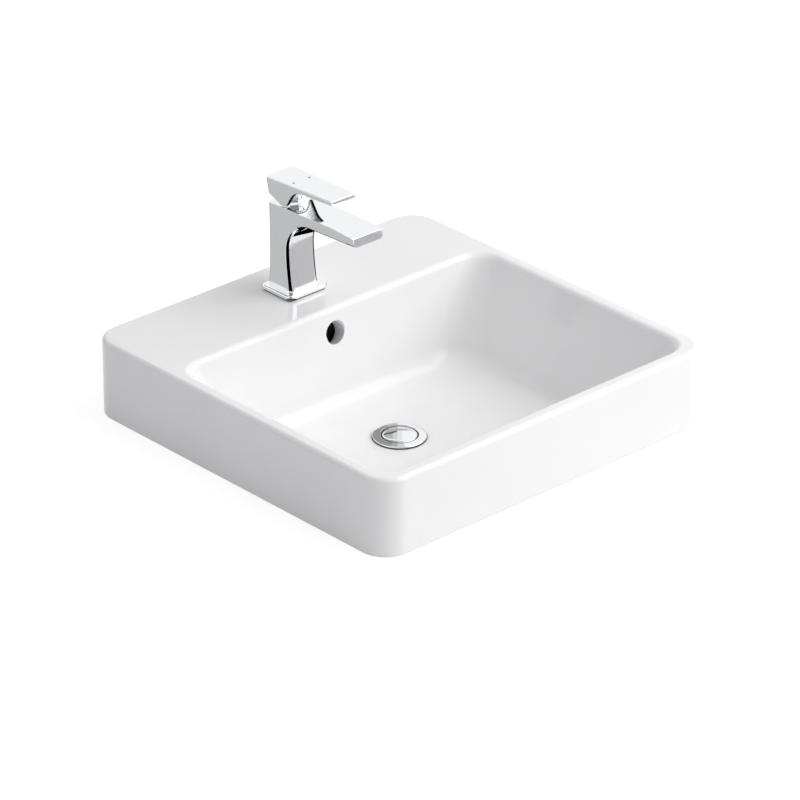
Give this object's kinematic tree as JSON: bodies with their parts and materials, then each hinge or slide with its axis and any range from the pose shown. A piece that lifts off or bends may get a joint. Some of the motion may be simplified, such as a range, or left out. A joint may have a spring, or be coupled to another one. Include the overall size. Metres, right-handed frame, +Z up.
{
  "type": "countertop basin with mixer tap",
  "caption": "Square white countertop basin with a rounded bowl and a tap ledge, a chrome lever mixer with an arched spout, an overflow and a push-to-open waste.",
  "frame": {"origin": "middle of the basin's plan, over the waste, on the plane of the counter that the outer wall's foot rests on", "axes": "+X to the right along the front, +Y back to the wall, +Z up"},
  "size_m": [0.5, 0.494, 0.3483],
  "materials": {
    "glaze": "gloss white glaze",
    "chrome": "bright chrome plate",
    "steel": "plain steel",
    "brass": "bare machined brass",
    "rubber": "black moulded rubber",
    "white_plastic": "white moulded plastic",
    "grey_plastic": "grey moulded plastic",
    "disc_ceramic": "ground technical ceramic",
    "red": "red enamel",
    "blue": "blue enamel"
  },
  "bodies": {
    "basin": {"basin_body": "glaze", "waste_body": "chrome", "flange_gasket": "rubber", "cone_washer": "rubber", "slip_washer": "white_plastic", "waste_backnut": "brass", "plug_latch": "white_plastic", "plug_spring": "steel", "base_plate": "chrome", "base_gasket": "rubber", "tap_body": "chrome", "aerator_housing": "chrome", "aerator_insert": "white_plastic", "aerator_seal": "rubber", "cartridge_base": "grey_plastic", "cartridge_seals": "rubber", "fixed_disc": "disc_ceramic", "cartridge_housing": "grey_plastic", "cartridge_nut": "brass", "dome_cap": "chrome", "fixing_stud": "brass", "horseshoe_gasket": "rubber", "horseshoe_washer": "steel", "stud_nut": "brass"},
    "rotor": {"cartridge_rotor": "white_plastic"},
    "handle": {"lever": "chrome", "lever_spindle": "steel", "pivot_pin": "steel", "lever_grub_screw": "steel", "hot_dot": "red", "cold_dot": "blue"},
    "disc": {"moving_disc": "disc_ceramic", "disc_carrier": "white_plastic"},
    "plug": {"plug_cap": "chrome", "plug_seal": "rubber", "plug_stem": "brass"}
  },
  "joints": [
    {"name": "lever_swivel", "type": "hinge", "parent": "basin", "child": "rotor", "pos_m": [0, 0.178, 0.208], "axis": [0, 0, 1], "range_deg": [-45, 45]},
    {"name": "lever_lift", "type": "hinge", "parent": "rotor", "child": "handle", "pos_m": [0, 0.178, 0.208], "axis": [-1, 0, 0], "range_deg": [0, 25]},
    {"name": "disc_slide", "type": "slide", "parent": "rotor", "child": "disc", "axis": [0, -1, 0], "range_m": [0, 0.0044]},
    {"name": "plug_press", "type": "slide", "parent": "basin", "child": "plug", "axis": [0, 0, 1], "range_m": [0, 0.0085], "deforming": ["plug_spring"]}
  ],
  "couplings": [
    {"joint": "disc_slide", "follows": "lever_lift", "m_per_rad": 0.01}
  ]
}
